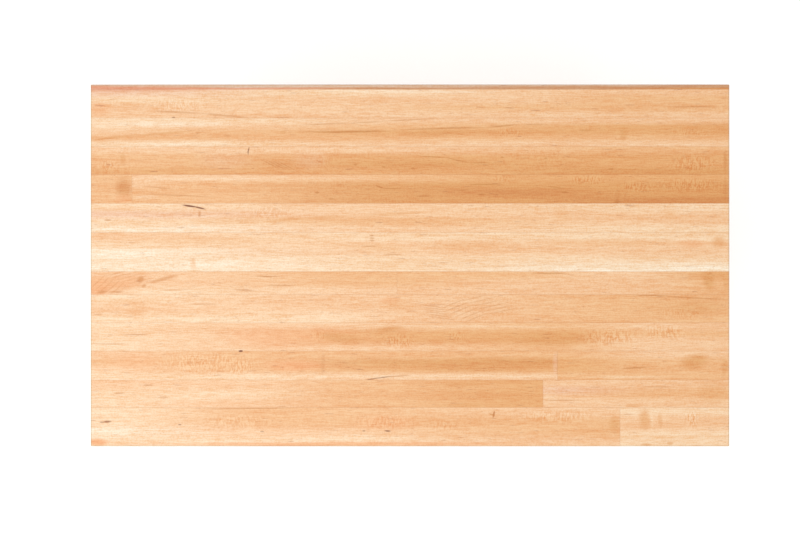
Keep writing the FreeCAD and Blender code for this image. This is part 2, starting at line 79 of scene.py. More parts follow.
def add(tree, kind, inputs=None, **settings):
    """Adds one node, sets its settings, and fills its inputs with values or links."""
    made = tree.nodes.new("ShaderNode" + kind)
    for name, value in settings.items():
        setattr(made, name, value)
    for name, value in (inputs or {}).items():
        if isinstance(value, bpy.types.Node):
            value = enabled(value.outputs, "")
        if isinstance(value, bpy.types.NodeSocket):
            tree.links.new(value, enabled(made.inputs, name))
        else:
            enabled(made.inputs, name).default_value = value
    return made


def new_material(name):
    """An empty material: the tree, and its one surface shader."""
    material = bpy.data.materials.new(name)
    material.use_nodes = True
    material.node_tree.nodes.clear()
    shader = add(material.node_tree, "BsdfPrincipled")
    add(material.node_tree, "OutputMaterial", {"Surface": shader})
    return material, material.node_tree, shader


def feed(tree, shader, **inputs):
    """Links or sets the shader's sockets, whose names have spaces where these have underscores."""
    for name, value in inputs.items():
        socket = shader.inputs[name.replace("_", " ")]
        if isinstance(value, bpy.types.Node):
            tree.links.new(enabled(value.outputs, ""), socket)
        else:
            socket.default_value = value


# %% [markdown]
# ## The tones of hard maple
# Hard maple is nearly white under the bark and browner towards the middle of the log, and an oiled
# top shows the whole range at once. These are the tones a maker would name when sorting the staves.
# Their codes were tuned under this scene's light until the lit top matched the wood, because a
# lit, oiled surface looks paler than its shader's colour. Every stave's bands use these words.

# %% The tones
TONES = {
    "cream": linear("e5d9c4"),
    "straw": linear("e2c9a9"),
    "honey": linear("dfbc96"),
    "tan": linear("daaf80"),
    "amber": linear("d3a16a"),
    "ochre": linear("cd985d"),
    "rust": linear("c68c50"),
    "pink": linear("dcba9e"),
    "heart": linear("c9af99"),
    "salmon": linear("dca676"),
    "blush": linear("cf9475"),
    "russet": linear("bb8c64"),
    "vein": linear("b3742b"),
    "resin": linear("bd8234"),
    "bark": linear("78400c"),
    # Not a wood tone: the grey-brown of the painted shade on the rounded rim of the face.
    "rim_shade_grey": linear("9a8672"),
}
print("tones:", ", ".join(TONES))

# %% [markdown]
# ## Measuring on the wood
# Object coordinates are metres from the middle of the table's foot. A maker reads a tape hooked on
# the top's back left corner instead: millimetres along, millimetres towards the front, and
# millimetres down. Turning one into the other is a multiply and an add, and from there
# every streak and knot can be placed by its tape readings.

# %% Tape readings
def tape(tree):
    """(along from the left end, across from the back edge, down from the face), all in mm."""
    spot = add(tree, "TexCoord")
    return add(tree, "VectorMath", {
        0: spot.outputs["Object"],
        1: (1 / MM, -1 / MM, -1 / MM),
        2: (TOP_LENGTH / 2, TOP_WIDTH / 2, TABLE_HEIGHT),
    }, operation="MULTIPLY_ADD")


def moved(tree, place, push):
    """The tape readings moved by push, so that each stave cuts its own part of the noise."""
    return add(tree, "VectorMath", {0: place, 1: push}, operation="ADD")


def wander(tree, place, reach):
    """The tape readings pushed about by slow noise, so that nothing drawn on them runs dead straight."""
    slow = add(tree, "VectorMath", {0: place, 1: (1 / 140, 1 / 40, 1 / 40)}, operation="MULTIPLY")
    noise = add(tree, "TexNoise", {"Vector": slow, "Scale": 1.0, "Detail": 3.0, "Roughness": 0.55})
    centred = add(tree, "VectorMath", {0: noise.outputs["Color"], 1: (0.5, 0.5, 0.5)},
                  operation="SUBTRACT")
    return add(tree, "VectorMath", {0: centred, 1: reach, 2: place}, operation="MULTIPLY_ADD")


# %% [markdown]
# ## The figure in the wood
# Wood figure is the same few ideas over and over: fibres along the trunk, growth rings round its
# middle, and curl, where the fibres buckle and throw short bright and dark ticks across the stave.
# Each idea is a function that gives a strength from 0 to 1. Noise squeezed along the grain makes
# fibres and ticks. Rings are the distance from the log's middle, read through noise, so the
# same rings show as long lines on the face and as arcs on the end of each stave.

# %% Fibres, rings and stain
def fibre(tree, place, size, low=0.4, high=0.6, detail=2.0, soft="SMOOTHSTEP"):
    """Noise whose blobs are size mm long, wide and deep: 0 below low, 1 above high."""
    scaled = add(tree, "VectorMath", {0: place, 1: tuple(1 / s for s in size)}, operation="MULTIPLY")
    noise = add(tree, "TexNoise", {"Vector": scaled, "Scale": 1.0, "Detail": detail, "Roughness": 0.6})
    return add(tree, "MapRange", {"Value": noise, "From Min": low, "From Max": high},
               interpolation_type=soft)


def rings(tree, place, middle, spacing, low, high):
    """Growth rings about the log's middle, which lies at middle = (across, down) on the tape."""
    from_middle = add(tree, "VectorMath", {0: place, 1: (0, *middle)}, operation="SUBTRACT")
    flat = add(tree, "VectorMath", {0: from_middle, 1: (0.012, 1, 1)}, operation="MULTIPLY")
    far = add(tree, "VectorMath", {0: flat}, operation="LENGTH")
    count = add(tree, "Math", {0: far.outputs["Value"], 1: spacing}, operation="DIVIDE")
    noise = add(tree, "TexNoise", {"W": count, "Scale": 1.0, "Detail": 2.0, "Roughness": 0.6},
                noise_dimensions="1D")
    return add(tree, "MapRange", {"Value": noise, "From Min": low, "From Max": high},
               interpolation_type="SMOOTHSTEP")


def patch(tree, place, along, across, length, width, turn=0.0, edge=0.75):
    """1 in the middle of an oval length by width mm at that tape reading, and 0 outside it."""
    local = add(tree, "Mapping", {
        "Vector": place,
        "Location": (along, across, 0),
        "Rotation": (0, 0, math.radians(turn)),
        "Scale": (length / 2, width / 2, TOP_THICKNESS * 2),
    }, vector_type="TEXTURE")
    round_fall = add(tree, "TexGradient", {"Vector": local}, gradient_type="SPHERICAL")
    return add(tree, "MapRange", {"Value": round_fall, "From Max": edge}, interpolation_type="SMOOTHSTEP")


def times(tree, *amounts):
    """Strengths multiplied together."""
    result = amounts[0]
    for amount in amounts[1:]:
        result = add(tree, "Math", {0: result, 1: amount}, operation="MULTIPLY")
    return result


def stained(tree, colour, amount, tone, way="MIX"):
    """The colour, taken towards a tone by amount."""
    tone = TONES[tone] if isinstance(tone, str) else tone
    return add(tree, "Mix", {"Factor": amount, "A": colour, "B": tone}, data_type="RGBA", blend_type=way)


# %% [markdown]
# ## Tone across and along a stave
# A stave is sawn from wherever it fits in the log, so its tone changes in soft bands across its
# width, and slowly along it. On most staves the change along runs paler and pinker towards the left
# end, which is partly the wood and partly painted light: the stronger light on the left end is painted
# into the tones. A Color Ramp read across the width gives the bands at one place on the stave. Two or
# more such ramps, each at its own distance along, are blended one into the next.

# %% Bands of tone
def bands(tree, across, tones):
    """Tones named from the back edge of a stave to its front edge, blended across it."""
    ramp = add(tree, "ValToRGB", {"Fac": across})
    ramp.color_ramp.interpolation = "EASE"
    names = tones.split()
    stops = ramp.color_ramp.elements
    while len(stops) < len(names):
        stops.new(0.5)
    for number, name in enumerate(names):
        stops[number].position = (number + 0.5) / len(names)
        stops[number].color = TONES[name]
    return ramp


def tone_and_light_drift(tree, place, back, front, stations):
    """The stave's tone, from {mm along: "tones from back to front"}; its drift along the stave is partly
    the wood and partly painted light, paler at the left end where the light falls stronger.
    """
    along, across, _ = add(tree, "SeparateXYZ", {0: place}).outputs
    share = add(tree, "MapRange", {"Value": across, "From Min": back, "From Max": front})
    places = sorted(stations)
    colour = bands(tree, share, stations[places[0]])
    for start, end in zip(places, places[1:]):
        reached = add(tree, "MapRange", {"Value": along, "From Min": start, "From Max": end},
                      interpolation_type="SMOOTHSTEP")
        colour = stained(tree, colour, reached, bands(tree, share, stations[end]))
    return colour


# %% [markdown]
# ## One stave's material
# Oiled hard maple, planed and sanded: pale, closely grained, with a satin that comes from a thin
# wiped finish. The eye gets tone bands first, then growth lines, then curl, then single marks.
# Everything that darkens the wood is added up and multiplied in once, as oil does when it soaks in.
# The marks are painted last, each where it lies on the tape. Glue lines show as a hair of darker
# tone where two staves meet. Fibres are about 0.1 mm wide on real maple, which is too fine to
# show from across a room, so they are drawn about 1.5 mm wide.

# %% The maple
STAIN = linear("e7a62a")
DEEP_STAIN = linear("a8683a")
maples = {}


def line_at(tree, readings, places, reach):
    """1 at any of the tape readings listed in places, fading to 0 at reach mm away."""
    nearest = reach
    for place in places:
        off = add(tree, "Math", {0: readings, 1: place}, operation="SUBTRACT")
        gap = add(tree, "Math", {0: off}, operation="ABSOLUTE")
        nearest = add(tree, "Math", {0: nearest, 1: gap}, operation="MINIMUM")
    return add(tree, "MapRange", {"Value": nearest, "From Max": reach, "To Min": 1.0, "To Max": 0.0})


def glue_lines(tree, along, across, back, front, ends):
    """1 along the stave's glued edges; the outside of the top has no glue."""
    lengthwise = line_at(tree, across, [place for place in (back, front) if 1 < place < TOP_WIDTH - 1], 0.6)
    butt = line_at(tree, along, [place for place in ends if 1 < place < TOP_LENGTH - 1], 0.6)
    return add(tree, "Math", {0: lengthwise, 1: butt}, operation="MAXIMUM")


def painted_rim_shade(tree, along, across, down):
    """1 round the rim of the face, where the rounded edge turns away from the light: the mask of a painted
    shade.
    """
    side = line_at(tree, across, (0, TOP_WIDTH), 2.0)
    end = line_at(tree, along, (0, TOP_LENGTH), 2.6)
    rim = add(tree, "Math", {0: side, 1: end}, operation="MAXIMUM")
    return times(tree, rim, line_at(tree, down, (0,), 2.0))


def end_grain(tree):
    """1 on the sawn ends, which point along the table."""
    facing = add(tree, "SeparateXYZ", {0: add(tree, "NewGeometry").outputs["Normal"]})
    turned = add(tree, "Math", {0: facing}, operation="ABSOLUTE")
    return add(tree, "MapRange", {"Value": turned, "From Min": 0.6, "From Max": 0.9})


def maple(node, seed, stations, middle=(70, 90), lines=0.1, wave=0.14, curl=0.12, zones=(), marks=()):
    """Gives a stave its own maple: tones, rings about middle, curl in zones, and marks."""
    material, tree, shader = new_material("oiled_maple_" + node)
    low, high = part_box(node)
    back, front = (TOP_WIDTH / 2 - high.y / MM), (TOP_WIDTH / 2 - low.y / MM)
    ends = [low.x / MM + TOP_LENGTH / 2, high.x / MM + TOP_LENGTH / 2]
    place = tape(tree)
    bent = wander(tree, place, (8.0, 5.0, 5.0))
    own = moved(tree, bent, (seed * 917.0, seed * 311.0, seed * 173.0))
    # Tone bands whose drift along the stave is partly painted light: paler towards the left end, where the
    # light falls stronger.
    colour = tone_and_light_drift(tree, bent, back, front, stations)
    for tone, along, across, length, width, turn, strength in marks:
        spot = patch(tree, bent, along, across, length, width, turn, edge=0.6 if width < 8 else 0.75)
        colour = stained(tree, colour, times(tree, spot, strength), tone)

    ring = rings(tree, bent, (back + middle[0], middle[1]), 3.4, 0.55, 0.75)
    long_wave = fibre(tree, own, (260, 13, 30), 0.4, 0.66, detail=1.0)
    fine = fibre(tree, own, (24, 1.5, 3), 0.36, 0.66, detail=2.0)
    speck = fibre(tree, own, (2.6, 2.2, 3), 0.4, 0.7, detail=1.0)
    tick = fibre(tree, own, (2.5, 8, 8), 0.42, 0.6, detail=2.0)
    where = fibre(tree, own, (120, 22, 40), 0.48, 0.62)
    amount = times(tree, where, curl)
    for along, across, length, width, strength in zones:
        zone = times(tree, patch(tree, bent, along, across, length, width), strength)
        amount = add(tree, "Math", {0: amount, 1: zone}, operation="MAXIMUM")
    both_ways = add(tree, "Math", {0: tick, 1: 0.4}, operation="SUBTRACT")
    dark = times(tree, both_ways, amount, 0.55)
    for pattern, strength in ((ring, lines), (long_wave, wave), (fine, 0.29), (speck, 0.2)):
        dark = add(tree, "Math", {0: pattern, 1: strength, 2: dark}, operation="MULTIPLY_ADD")
    colour = stained(tree, colour, dark, STAIN, "MULTIPLY")

    pore = fibre(tree, own, (7, 0.9, 1.2), 0.66, 0.74, detail=1.0)
    colour = stained(tree, colour, times(tree, pore, 0.35), DEEP_STAIN, "MULTIPLY")
    dash = fibre(tree, own, (26, 2.0, 3), 0.7, 0.78, detail=1.0)
    colour = stained(tree, colour, times(tree, dash, 0.45), DEEP_STAIN, "MULTIPLY")
    along, across, down = add(tree, "SeparateXYZ", {0: place}).outputs
    glue = times(tree, glue_lines(tree, along, across, back, front, ends), 0.28)
    colour = stained(tree, colour, glue, DEEP_STAIN, "MULTIPLY")
    colour = stained(tree, colour, times(tree, end_grain(tree), 0.35), DEEP_STAIN, "MULTIPLY")
    # Painted shade: the rim of the face is taken towards a grey-brown, in place of the shade on the rounded
    # edge.
    colour = stained(tree, colour, times(tree, painted_rim_shade(tree, along, across, down), 0.7), "rim_shade_grey")

    satin = add(tree, "MapRange", {"Value": dark, "To Min": 0.38, "To Max": 0.5})
    relief = add(tree, "Bump", {"Height": fine, "Strength": 0.12, "Distance": 0.0004})
    feed(tree, shader, Base_Color=colour, Roughness=satin, Normal=relief, IOR=1.5)
    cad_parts[node].data.materials.clear()
    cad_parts[node].data.materials.append(material)
    maples[node] = material


# %% [markdown]
# ## The thirteen rows
# A mark is what a maker would circle in pencil: its tone, where its middle lies on the tape (mm
# along, mm from the back edge), its length and width in mm, its turn in degrees, and how strongly it
# shows. A zone is a patch of curl: along, across, length, width and strength. Where the saw
# crossed the rings at a slant they show as nested lines, which are one mark stepped sideways.
# The rows run from the back edge: a narrow strip of pinkish heartwood, then twelve wider rows. Five
# of the rows are two lengths glued end to end. Each call says what a maker would say of that stave.

# %% Rows 1 to 4
def nested(count, step, mark):
    """The same mark count times, each one step (along, across) from the last."""
    tone, along, across, *rest = mark
    return [(tone, along + number * step[0], across + number * step[1], *rest) for number in range(count)]


# On most rows the stations run paler towards the left end: partly the wood, partly painted light from the
# stronger light on the left.
maple("stave_01", 1, {
    0: "heart blush blush", 250: "heart heart blush", 500: "heart heart russet",
    800: "heart russet russet", 1066: "russet russet rust",
}, curl=0.1)
maple("stave_02", 2, {
    0: "pink straw honey honey", 400: "straw honey honey honey", 700: "honey honey tan honey",
    900: "honey tan tan tan honey",
}, zones=[
    (145, 35, 130, 30, 0.6),
], marks=[
    ("bark", 138, 56, 8, 5, 0, 0.6), ("straw", 560, 50, 330, 10, -1, 0.4),
    ("tan", 880, 36, 350, 14, 0, 0.4), ("blush", 0, 6, 640, 20, 0, 0.6),
    ("salmon", 16, 41, 50, 36, 0, 0.5), ("cream", 533, 12, 370, 7, 0, 0.5),
    ("straw", 820, 51, 460, 11, 0, 0.4), ("vein", 1007, 38, 110, 3, 0, 0.4),
    ("vein", 145, 46, 96, 5, 2, 0.4), ("vein", 224, 52, 100, 5, 6, 0.4),
])
maple("stave_03", 3, {
    0: "straw straw honey tan straw", 200: "straw honey tan tan straw",
    520: "honey tan amber tan honey", 900: "honey amber amber tan honey",
}, zones=[
    (700, 80, 60, 20, 0.7), (1005, 80, 100, 22, 0.5),
], marks=[
    ("rust", 180, 81, 12, 5, 0, 0.6), ("rust", 229, 86, 16, 6, 0, 0.8),
    ("ochre", 322, 80, 16, 8, 0, 0.6), ("vein", 440, 79, 170, 4, -1, 0.45),
    ("vein", 688, 70, 66, 4, -6, 0.5), ("vein", 742, 67, 50, 3, 0, 0.4),
    ("vein", 827, 77, 30, 4, 0, 0.4), ("cream", 150, 101, 250, 8, 0, 0.5),
    ("straw", 560, 101, 680, 8, 0, 0.35), ("honey", 800, 58, 520, 8, 0, 0.6),
    ("cream", 133, 66, 270, 13, 0, 0.6), ("straw", 300, 60, 440, 8, 0, 0.6),
    ("straw", 975, 101, 200, 4, 0, 0.5), ("tan", 260, 87, 250, 18, 0, 0.4),
    ("ochre", 580, 82, 170, 17, 0, 0.5), ("ochre", 37, 89, 96, 5, -6, 0.6),
    ("ochre", 122, 82, 120, 5, -4, 0.6), ("vein", 392, 66, 110, 3, -2, 0.4),
    ("vein", 462, 63, 76, 3, -4, 0.4), ("vein", 530, 59, 100, 3, -2, 0.4),
    ("vein", 420, 78, 180, 4, -1, 0.5), ("vein", 590, 74, 180, 4, -1, 0.5),
    ("ochre", 890, 82, 18, 38, 0, 0.6),
])
maple("stave_04", 4, {
    0: "honey tan tan amber", 520: "honey amber ochre amber", 900: "tan amber amber ochre",
}, curl=0.25, zones=[
    (30, 138, 50, 34, 0.9), (390, 128, 60, 30, 0.5), (1005, 132, 110, 42, 0.9),
], marks=[
    ("honey", 400, 108, 700, 8, 0, 0.55), ("ochre", 440, 134, 16, 5, 0, 0.5),
    ("ochre", 640, 127, 110, 5, 8, 0.4), ("ochre", 790, 136, 160, 5, 1, 0.4),
    ("vein", 868, 141, 14, 4, 0, 0.5), ("rust", 1059, 128, 10, 50, 0, 0.7),
    ("straw", 60, 104, 130, 7, 0, 0.6), ("pink", 224, 125, 120, 50, 0, 0.25),
    ("pink", 366, 125, 80, 50, 0, 0.25), ("ochre", 533, 136, 130, 24, 0, 0.6),
    ("ochre", 54, 124, 14, 26, 0, 0.6), ("ochre", 96, 146, 26, 8, 0, 0.6),
    ("bark", 264, 111, 18, 2.6, 97, 0.8), *nested(4, (9, 1), ("vein", 300, 134, 44, 3, 28, 0.35)),
    ("vein", 571, 121, 56, 3, 3, 0.5), ("vein", 612, 126, 56, 3, 12, 0.5),
    ("vein", 650, 131, 44, 3, 0, 0.4), *nested(3, (48, 3), ("vein", 442, 134, 8, 4, 0, 0.5)),
    *nested(2, (72, 2), ("vein", 687, 121, 8, 4, 0, 0.5)),
])

print(f"rows 1 to 4: {len(maples)} staves have their maple")

# %% [markdown]
# ## Rows 5 to 7
# Row 5 starts with a short length that has a soft knot beside its joint, and its right half is the
# darkest and curliest wood in the top. Rows 6 and 7 are the palest. Row 6 has one long bark pocket,
# which is a single thin mark in the darkest tone, since nothing else on the top is near black.

# %% Rows 5 to 7
maple("stave_05_left", 5, {
    0: "tan tan tan",
}, marks=[
    ("ochre", 55, 175, 30, 28, 0, 0.6), ("rust", 55, 174, 40, 54, 0, 0.7),
    ("salmon", 54, 192, 36, 28, 0, 0.5),
])
maple("stave_05_right", 6, {
    0: "honey honey tan tan", 200: "honey tan tan tan", 520: "tan ochre ochre ochre",
    700: "amber ochre rust ochre", 900: "amber ochre ochre rust",
}, curl=0.25, zones=[
    (690, 157, 66, 16, 0.8), (828, 159, 80, 24, 1.0), (911, 171, 80, 26, 1.0),
    (1000, 168, 150, 32, 0.9),
], marks=[
    ("vein", 379, 181, 8, 5, 0, 0.6), ("vein", 403, 191, 14, 3, 0, 0.5),
    ("vein", 652, 184, 18, 3, 0, 0.6), ("vein", 792, 180, 18, 4, 4, 0.7),
    ("rust", 884, 193, 14, 6, 0, 0.7), ("straw", 200, 158, 320, 8, 0, 0.5),
    ("honey", 400, 157, 330, 8, 0, 0.4), ("straw", 90, 189, 60, 12, 0, 0.5),
    ("vein", 115, 173, 70, 3, 6, 0.4), ("vein", 150, 186, 150, 3, 2, 0.4),
    ("vein", 483, 171, 18, 3.4, 20, 0.7), ("vein", 504, 174, 42, 3, 1, 0.6),
    ("vein", 556, 187, 34, 3.4, 0, 0.5), ("vein", 658, 167, 72, 3, 0, 0.6),
    ("vein", 622, 177, 30, 3.4, -6, 0.4), ("vein", 777, 172, 40, 3.4, 8, 0.5),
    ("rust", 880, 188, 16, 28, 0, 0.8), ("vein", 878, 197, 14, 10, 0, 0.6),
    ("rust", 1060, 175, 10, 56, 0, 0.6),
])
maple("stave_06", 7, {
    0: "straw pink straw cream", 520: "honey honey tan honey", 900: "straw honey honey straw",
}, zones=[
    (295, 215, 110, 30, 0.5),
], marks=[
    ("vein", 182, 216, 14, 3, 100, 0.4), ("vein", 28, 226, 18, 3, 0, 0.7),
    ("amber", 325, 227, 90, 7, -4, 0.6), ("amber", 390, 222, 110, 10, -4, 0.5),
    ("amber", 510, 216, 150, 9, -3, 0.5), ("honey", 60, 207, 120, 8, 0, 0.4),
    ("cream", 80, 240, 190, 9, 0, 0.7), ("tan", 789, 217, 40, 30, 0, 0.5),
    ("tan", 968, 216, 34, 30, 0, 0.5), ("rust", 182, 216, 8, 16, 0, 0.5),
    ("bark", 166, 203, 32, 4, 8, 1), ("bark", 183, 206, 24, 3.6, 12, 0.9),
])
maple("stave_07", 8, {
    0: "honey straw cream cream cream", 520: "straw honey honey straw straw",
    900: "straw honey honey straw cream",
}, lines=0.05, marks=[
    ("tan", 180, 261, 360, 18, 0, 0.5), ("tan", 480, 272, 160, 20, 4, 0.5),
    ("tan", 620, 268, 180, 20, -1, 0.5), ("tan", 870, 264, 340, 18, 0, 0.5),
    ("vein", 465, 270, 34, 3, 0, 0.5), ("cream", 140, 299, 270, 24, 0, 0.6),
    ("cream", 380, 300, 200, 14, 0, 0.35), ("tan", 391, 262, 110, 6, 12, 0.4),
    ("salmon", 1003, 266, 70, 22, 0, 0.4), ("amber", 1050, 263, 34, 26, 0, 0.6),
    ("tan", 171, 300, 14, 34, 0, 0.5), *nested(3, (0, 4), ("vein", 470, 252, 10, 3.4, 0, 0.5)),
    ("vein", 504, 284, 38, 3, 0, 0.5),
])

print(f"rows 5 to 7: {len(maples)} staves have their maple")

# %% [markdown]
# ## Rows 8 to 10
# Row 8's left end was cut close to a branch, so its rings sweep round in steep nested lines. Row 9
# shows wide, slow arcs, where the saw ran nearly along the rings. Row 10 has curl: ripples across the
# fibres that catch the light, made as zones of short ticks and not as marks one by one.

# %% Rows 8 to 10
maple("stave_08_left", 9, {
    0: "honey tan tan honey", 120: "honey honey straw", 480: "tan tan honey",
}, marks=[
    ("vein", 300, 321, 50, 3, -2, 0.4), ("salmon", 12, 338, 60, 50, 0, 0.9),
    ("salmon", 50, 330, 130, 34, -7, 0.6), *nested(5, (8, 3), ("rust", 12, 329, 50, 2.8, -40, 0.4)),
    *nested(5, (10, 3), ("rust", 44, 316, 56, 2.8, -13, 0.4)), ("rust", 84, 326, 18, 15, -28, 0.9),
    ("rust", 90, 336, 12, 8, -20, 0.7), ("rust", 121, 325, 70, 9, -15, 0.7),
    ("rust", 19, 346, 24, 8, -5, 0.8), ("rust", 42, 346, 34, 6, -5, 0.6),
    ("rust", 140, 343, 70, 4, -1, 0.4), ("vein", 289, 321, 42, 3, 0, 0.5),
    ("vein", 318, 336, 66, 3, 0, 0.5), ("vein", 258, 344, 48, 4.5, 4, 0.4),
])
maple("stave_08_right", 10, {
    520: "tan tan honey", 700: "tan honey honey", 900: "honey honey honey", 1050: "amber tan tan",
}, marks=[
    ("ochre", 1032, 327, 26, 46, 0, 0.8), ("amber", 1062, 327, 18, 50, 0, 0.7),
    ("vein", 766, 315, 80, 3, 0, 0.6),
])
maple("stave_09", 11, {
    0: "straw honey straw", 380: "honey honey straw", 520: "honey honey honey", 900: "tan tan tan",
}, lines=0.06, zones=[
    (985, 382, 120, 28, 0.5),
], marks=[
    ("tan", 77, 373, 46, 60, 0, 0.5), ("salmon", 501, 360, 50, 16, 0, 0.6),
    ("tan", 516, 366, 80, 34, 0, 0.5), *nested(6, (3, 4), ("vein", 570, 370, 60, 3, 9, 0.25)),
    *nested(6, (8, 4.5), ("vein", 604, 367, 56, 3, -23, 0.32)),
    *nested(6, (9, 4.5), ("vein", 642, 356, 66, 3, -13, 0.28)), ("vein", 571, 398, 30, 3, 0, 0.5),
    ("amber", 980, 372, 220, 50, 0, 0.3), ("ochre", 1014, 373, 120, 34, 0, 0.4),
    ("vein", 191, 367, 64, 3, 0, 0.4), ("vein", 934, 353, 70, 3, 0, 0.5),
    ("vein", 1010, 357, 160, 3.4, 3, 0.4),
])
maple("stave_10", 12, {
    0: "straw straw straw straw", 240: "honey honey honey honey", 420: "honey amber amber honey",
    780: "tan amber amber tan", 930: "honey tan honey honey",
}, lines=0.06, zones=[
    (380, 420, 40, 30, 0.7), (518, 428, 84, 32, 1.0), (611, 420, 50, 26, 0.8), (866, 422, 130, 38, 1.0),
    (960, 415, 96, 34, 0.9),
], marks=[
    ("bark", 251, 445, 10, 5, 0, 1), ("salmon", 300, 422, 220, 50, 3, 0.6),
    ("salmon", 400, 420, 200, 38, 5, 0.6), ("ochre", 418, 423, 120, 26, 6, 0.8),
    ("ochre", 499, 409, 66, 15, -6, 0.8), ("ochre", 770, 424, 180, 38, 0, 0.6),
    ("straw", 620, 404, 500, 6, 0, 0.4), ("vein", 74, 417, 54, 3, 0, 0.5),
    ("vein", 31, 433, 80, 3, 0, 0.4),
])

print(f"rows 8 to 10: {len(maples)} staves have their maple")

# %% [markdown]
# ## Rows 11 to 13
# Each of these rows is two lengths whose tones differ, which is what shows the butt joint. Row 13
# is the front edge. Its small pin knots are short marks, and its right-hand length has soft upright
# bars, where the grain dips in and out of the surface.

# %% Rows 11 to 13
maple("stave_11_left", 13, {
    0: "honey tan honey straw", 250: "tan tan tan straw", 520: "tan ochre amber honey",
}, zones=[
    (190, 465, 210, 48, 0.8), (247, 470, 70, 38, 1.0),
], marks=[
    ("bark", 251, 445, 10, 5, 0, 1), ("vein", 354, 478, 14, 4, 0, 0.5),
    ("vein", 475, 491, 44, 3, -6, 0.6), ("vein", 690, 462, 32, 3, 0, 0.3),
    ("salmon", 75, 463, 120, 40, 0, 0.4), ("salmon", 340, 469, 140, 30, 0, 0.8),
    ("vein", 388, 467, 10, 50, 0, 0.2), ("ochre", 640, 470, 260, 30, 0, 0.6),
    ("straw", 565, 488, 560, 11, 0, 0.8), ("pink", 776, 467, 12, 56, 0, 0.5),
    ("vein", 742, 495, 110, 4, 0, 0.5), ("bark", 469, 492, 30, 3, -13, 0.5),
    ("bark", 489, 489, 36, 3, -7, 0.5), ("vein", 514, 487, 50, 3, -4, 0.5),
])
maple("stave_11_right", 14, {
    780: "tan amber amber tan", 950: "honey tan tan tan",
}, marks=[
    ("amber", 1016, 458, 34, 16, 0, 0.5), ("ochre", 1058, 472, 14, 44, 0, 0.5),
    ("amber", 795, 470, 40, 10, -8, 0.4), ("ochre", 1008, 463, 66, 34, -12, 0.7),
    ("vein", 909, 473, 60, 3, -3, 0.6), ("straw", 900, 489, 180, 6, 0, 0.4),
])
maple("stave_12_left", 15, {
    0: "honey straw straw", 250: "honey straw honey", 450: "tan tan tan", 700: "amber amber amber",
}, marks=[
    ("vein", 320, 538, 20, 3, 0, 0.4), ("tan", 640, 505, 200, 14, 0, 0.3),
    ("ochre", 620, 502, 110, 14, 0, 0.5), ("ochre", 620, 536, 110, 9, 0, 0.5),
    ("vein", 96, 502, 24, 3, 0, 0.5), ("vein", 49, 515, 24, 3, 0, 0.5),
    ("vein", 122, 522, 24, 3, 0, 0.4),
])
maple("stave_12_right", 16, {
    760: "honey pink honey honey", 950: "honey tan honey",
}, marks=[
    ("vein", 842, 506, 26, 3, 0, 0.3), ("vein", 950, 505, 60, 3, 0, 0.35),
    ("straw", 766, 517, 34, 50, 0, 0.3), ("vein", 786, 527, 90, 3, 0, 0.4),
    ("amber", 905, 536, 36, 7, 0, 0.5), ("amber", 1040, 515, 70, 60, 0, 0.5),
])
maple("stave_13_left", 17, {
    0: "straw straw cream straw", 300: "tan tan honey straw", 860: "honey tan tan honey",
}, zones=[
    (250, 563, 160, 30, 0.6), (492, 563, 150, 36, 0.6), (585, 570, 90, 28, 0.5),
    (780, 555, 180, 30, 0.7),
], marks=[
    ("vein", 27, 564, 16, 4, 0, 0.7), ("bark", 149, 568, 7, 3, 0, 0.6),
    ("bark", 287, 579, 9, 3, 0, 0.5), ("bark", 455, 579, 7, 3, 0, 0.6),
    ("bark", 495, 579, 14, 4, 4, 0.85), ("vein", 673, 551, 16, 5, 100, 0.8),
    ("amber", 12, 600, 26, 8, 0, 0.5), ("amber", 400, 603, 560, 4, 0, 0.4),
    ("straw", 400, 590, 460, 8, 0, 0.4), ("salmon", 492, 565, 150, 38, 0, 0.5),
    ("straw", 437, 587, 84, 10, 0, 0.6), ("salmon", 400, 600, 960, 9, 0, 0.8),
    ("salmon", 12, 596, 50, 17, 0, 1), ("ochre", 874, 567, 28, 34, 0, 0.6),
    ("vein", 258, 541, 200, 3, 0, 0.5), ("bark", 19, 564, 10, 3.6, 0, 0.5),
    ("bark", 29, 563, 18, 4.4, 0, 0.6), ("resin", 669, 551, 12, 4, 20, 0.6),
])
maple("stave_13_right", 18, {
    900: "straw honey honey straw straw",
}, zones=[
    (1004, 558, 36, 36, 0.9),
], marks=[
    ("amber", 951, 560, 12, 36, 0, 0.5), ("ochre", 928, 601, 26, 8, 0, 0.6),
    ("ochre", 968, 599, 16, 9, 0, 0.6), ("straw", 1000, 590, 120, 8, 0, 0.5),
    ("amber", 925, 560, 28, 50, 0, 0.7), ("straw", 937, 560, 7, 44, 0, 0.7),
    ("straw", 980, 589, 180, 9, 0, 0.5),
])
print(f"rows 11 to 13: {len(maples)} staves have their maple")

# %% [markdown]
# ## The base
# Legs and aprons are the same maple under a clear satin lacquer, so they are the same figure read
# in another direction: up a leg, or along an apron. Swapping the axes of the coordinates turns the
# grain, and a thin clear coat on the shader gives the lacquer its second, sharper shine.

# %% Legs and aprons
def along_axis(tree, order):
    """Object coordinates in mm with the grain's axis first, then across, then deep: "ZXY" for a leg."""
    spot = add(tree, "TexCoord")
    scaled = add(tree, "VectorMath", {0: spot.outputs["Object"], "Scale": 1 / MM}, operation="SCALE")
    parts = dict(zip("XYZ", add(tree, "SeparateXYZ", {0: scaled}).outputs))
    return add(tree, "CombineXYZ", {number: parts[axis] for number, axis in enumerate(order)})


